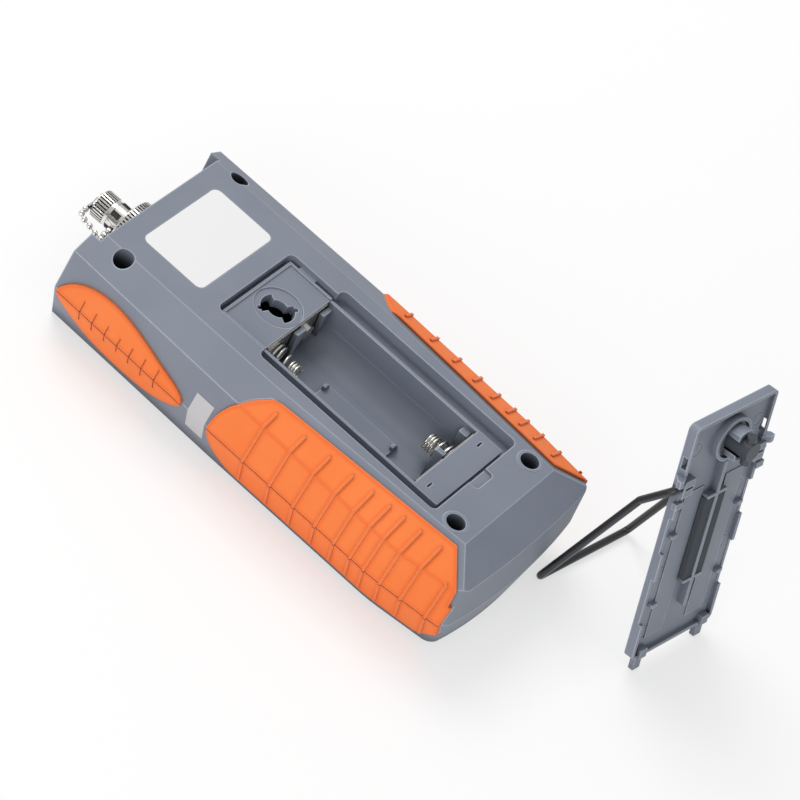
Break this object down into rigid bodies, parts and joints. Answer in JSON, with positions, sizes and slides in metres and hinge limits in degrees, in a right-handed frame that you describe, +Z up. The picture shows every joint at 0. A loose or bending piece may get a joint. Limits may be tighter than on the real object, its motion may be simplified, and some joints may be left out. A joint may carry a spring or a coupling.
{
  "type": "handheld optical light source",
  "caption": "Handheld test source for optical fibre, shown from behind with its battery cover off: two-shell housing, rubber grips, capped fibre port and wire stand.",
  "frame": {"origin": "middle of the front face, on the surface that the housing rests on", "axes": "+Y along the housing towards the fibre port, +Z up through the rear face, X across the housing"},
  "size_m": [0.0992, 0.2144, 0.0887],
  "materials": {
    "grey_plastic": "blue-grey moulded ABS with a fine spark texture",
    "orange_rubber": "orange overmoulded elastomer, satin",
    "white_label": "blank white polyester label",
    "grey_sticker": "blank brittle seal sticker",
    "black_steel": "black oxide or black coated steel",
    "plain_steel": "plain plated steel",
    "clear_window": "clear acrylic display window",
    "display": "unlit display panel",
    "green_board": "solder-masked circuit board",
    "key_rubber": "dark silicone rubber",
    "nickel_brass": "bright nickel plated brass",
    "zirconia": "ground white ceramic sleeve",
    "contact_nickel": "nickel plated spring steel",
    "black_foam": "closed-cell foam strip",
    "dark_plastic": "dark moulded nylon"
  },
  "bodies": {
    "unit": {"rear_shell": "grey_plastic", "front_shell": "grey_plastic", "side_pad_rear_left": "orange_rubber", "side_pad_rear_right": "orange_rubber", "side_pad_front_left": "orange_rubber", "side_pad_front_right": "orange_rubber", "grip_rear_left": "orange_rubber", "grip_rear_right": "orange_rubber", "grip_front_left": "orange_rubber", "grip_front_right": "orange_rubber", "rating_label": "white_label", "seal_sticker": "grey_sticker", "case_screws": "black_steel", "board_screws": "plain_steel", "display_window": "clear_window", "display_module": "display", "main_board": "green_board", "key_switches": "plain_steel", "laser_module": "plain_steel", "power_socket": "plain_steel", "fibre_adapter": "nickel_brass", "alignment_sleeve": "zirconia", "knurled_ring": "nickel_brass", "bead_chain": "nickel_brass", "bridge_contact": "contact_nickel", "bridge_spring": "contact_nickel", "minus_spring": "contact_nickel", "minus_contact": "contact_nickel", "plus_contact": "contact_nickel", "battery_cover": "grey_plastic", "foam_pad_left": "black_foam", "foam_pad_right": "black_foam"},
    "cap_link": {"cap_swivel": "nickel_brass"},
    "cap": {"dust_cap": "nickel_brass"},
    "latch": {"latch_shaft": "dark_plastic"},
    "stand": {"wire_stand": "black_steel"},
    "power": {"key_power": "key_rubber"},
    "wavelength": {"key_wavelength": "key_rubber"},
    "mode": {"key_mode": "key_rubber"},
    "backlight": {"key_backlight": "key_rubber"}
  },
  "joints": [
    {"name": "cap_travel", "type": "slide", "parent": "unit", "child": "cap_link", "axis": [0, 1, 0], "range_m": [0, 0.0038]},
    {"name": "cap_turn", "type": "hinge", "parent": "cap_link", "child": "cap", "pos_m": [0, 0.09, 0.017], "axis": [0, 1, 0], "range_deg": [0, 1800]},
    {"name": "latch_turn", "type": "hinge", "parent": "unit", "child": "latch", "pos_m": [0.03725, -0.09568, 0.07806], "axis": [0.1673, 0.9489, -0.2677], "range_deg": [0, 90]},
    {"name": "stand_fold", "type": "hinge", "parent": "unit", "child": "stand", "pos_m": [0.03629, -0.10113, 0.06787], "axis": [-0.9848, 0.1736, 0], "range_deg": [0, 26]},
    {"name": "power_press", "type": "slide", "parent": "unit", "child": "power", "axis": [0, 0, 1], "range_m": [0, 0.0009], "stiffness_N_per_m": 600},
    {"name": "wavelength_press", "type": "slide", "parent": "unit", "child": "wavelength", "axis": [0, 0, 1], "range_m": [0, 0.0009], "stiffness_N_per_m": 600},
    {"name": "mode_press", "type": "slide", "parent": "unit", "child": "mode", "axis": [0, 0, 1], "range_m": [0, 0.0009], "stiffness_N_per_m": 600},
    {"name": "backlight_press", "type": "slide", "parent": "unit", "child": "backlight", "axis": [0, 0, 1], "range_m": [0, 0.0009], "stiffness_N_per_m": 600}
  ],
  "couplings": [
    {"joint": "cap_travel", "follows": "cap_turn", "m_per_rad": 0.00011937}
  ]
}
